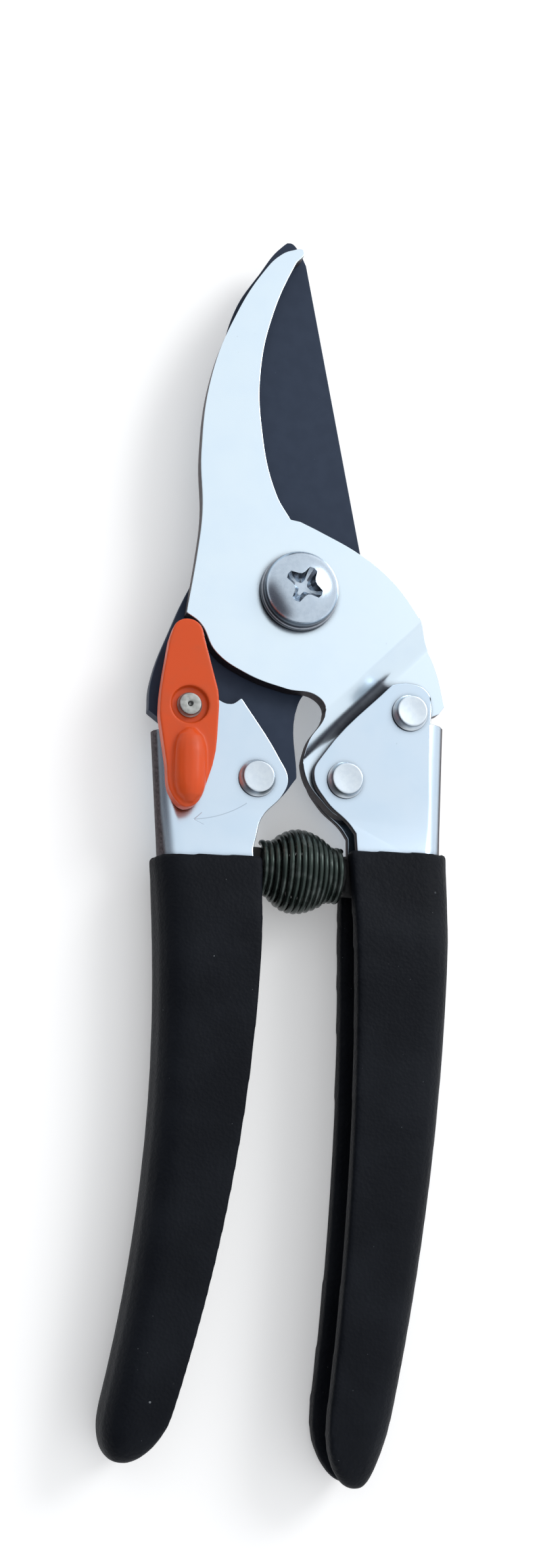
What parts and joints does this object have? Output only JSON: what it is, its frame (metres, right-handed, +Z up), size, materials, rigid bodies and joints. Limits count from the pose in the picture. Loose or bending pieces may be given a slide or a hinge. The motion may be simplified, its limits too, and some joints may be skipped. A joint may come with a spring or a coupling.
{
  "type": "pruning shears",
  "caption": "One-handed bypass pruning shears with a chromed hook, dark cutting blade, dipped grips, barrel return spring and a thumb lock lever.",
  "frame": {"origin": "on the pivot bolt's axis, at the bolt's back end, in the plane that the shears rest on", "axes": "+Z up through the thickness, towards the side with the bolt's head; +Y along the shears towards the blade's tip; +X to the right seen from above"},
  "size_m": [0.0521, 0.2027, 0.0162],
  "materials": {
    "chrome": "bright chrome plate on pressed steel",
    "blade": "dark satin low-friction coating on ground steel",
    "grip": "matt dipped vinyl with a fine pebbled skin",
    "lever": "semi-gloss moulded orange plastic",
    "steel": "satin plated steel",
    "spring": "dark oil-blackened spring wire",
    "bronze": "sintered bronze",
    "nylon": "black moulded nylon"
  },
  "bodies": {
    "hook_side": {"hook_blade": "chrome", "right_handle": "chrome", "right_grip": "grip", "right_rivet_lower": "steel", "right_rivet_upper": "steel", "pivot_bolt": "steel", "pivot_washer": "steel", "pivot_bush": "bronze", "pivot_spring_washer": "steel", "pivot_nut": "steel", "right_spring_seat": "nylon", "return_spring": "spring"},
    "blade_side": {"cutting_blade": "blade", "left_handle": "chrome", "left_grip": "grip", "left_rivet": "steel", "lever_rivet": "steel", "lever_washer": "steel", "left_spring_seat": "nylon"},
    "lock": {"lock_lever": "lever"}
  },
  "joints": [
    {"name": "blade_pivot", "type": "hinge", "parent": "hook_side", "child": "blade_side", "pos_m": [0, 0, 0], "axis": [0, 0, 1], "range_deg": [-26, 0], "deforming": ["return_spring"]},
    {"name": "lock_lever_turn", "type": "hinge", "parent": "blade_side", "child": "lock", "pos_m": [-0.0167, -0.0213, 0], "axis": [0, 0, 1], "range_deg": [0, 22]}
  ]
}
